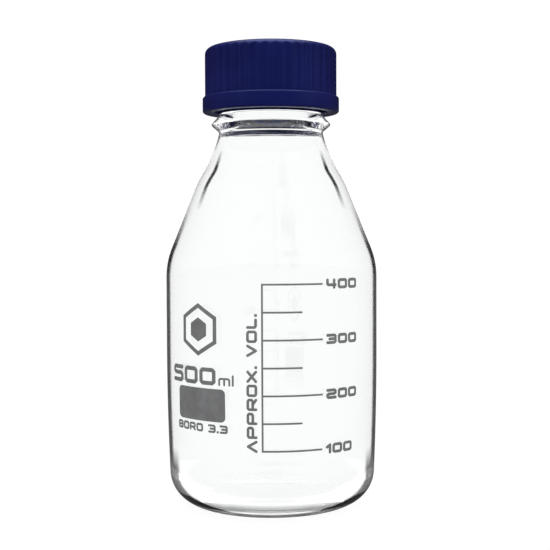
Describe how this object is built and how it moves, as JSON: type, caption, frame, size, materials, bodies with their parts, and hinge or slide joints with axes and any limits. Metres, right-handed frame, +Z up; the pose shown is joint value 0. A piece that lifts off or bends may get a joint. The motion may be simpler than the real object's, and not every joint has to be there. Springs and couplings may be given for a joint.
{
  "type": "reagent bottle",
  "caption": "Clear glass laboratory bottle with a long sloping shoulder, a printed volume scale and a blue ribbed screw cap over a pouring ring.",
  "frame": {"origin": "on the bottle's axis, in the plane it stands on", "axes": "+Z up along the bottle's axis, towards the cap; -Y is the front, where the middle of the print is; +X is to the right seen from the front"},
  "size_m": [0.085, 0.0851, 0.1834],
  "materials": {
    "clear_glass": "fire polished",
    "ring_plastic": "moulded",
    "seal_disc": "smooth",
    "cap_plastic": "moulded",
    "enamel": "fired"
  },
  "bodies": {
    "bottle": {"glass_bottle": "clear_glass", "pour_ring": "ring_plastic", "scale_lines": "enamel", "scale_numerals": "enamel", "scale_legend": "enamel", "capacity_mark": "enamel", "writing_panel": "enamel", "glass_type_mark": "enamel", "emblem": "enamel"},
    "seal": {"cap_seal": "seal_disc"},
    "cap": {"screw_cap": "cap_plastic"}
  },
  "joints": [
    {"name": "cap_lift", "type": "slide", "parent": "bottle", "child": "seal", "axis": [0, 0, 1], "range_m": [0, 0.0401]},
    {"name": "cap_turn", "type": "hinge", "parent": "seal", "child": "cap", "pos_m": [0, 0, 0.17], "axis": [0, 0, 1], "range_deg": [0, 3600]}
  ],
  "couplings": [
    {"joint": "cap_lift", "follows": "cap_turn", "m_per_rad": 0.00063662}
  ]
}
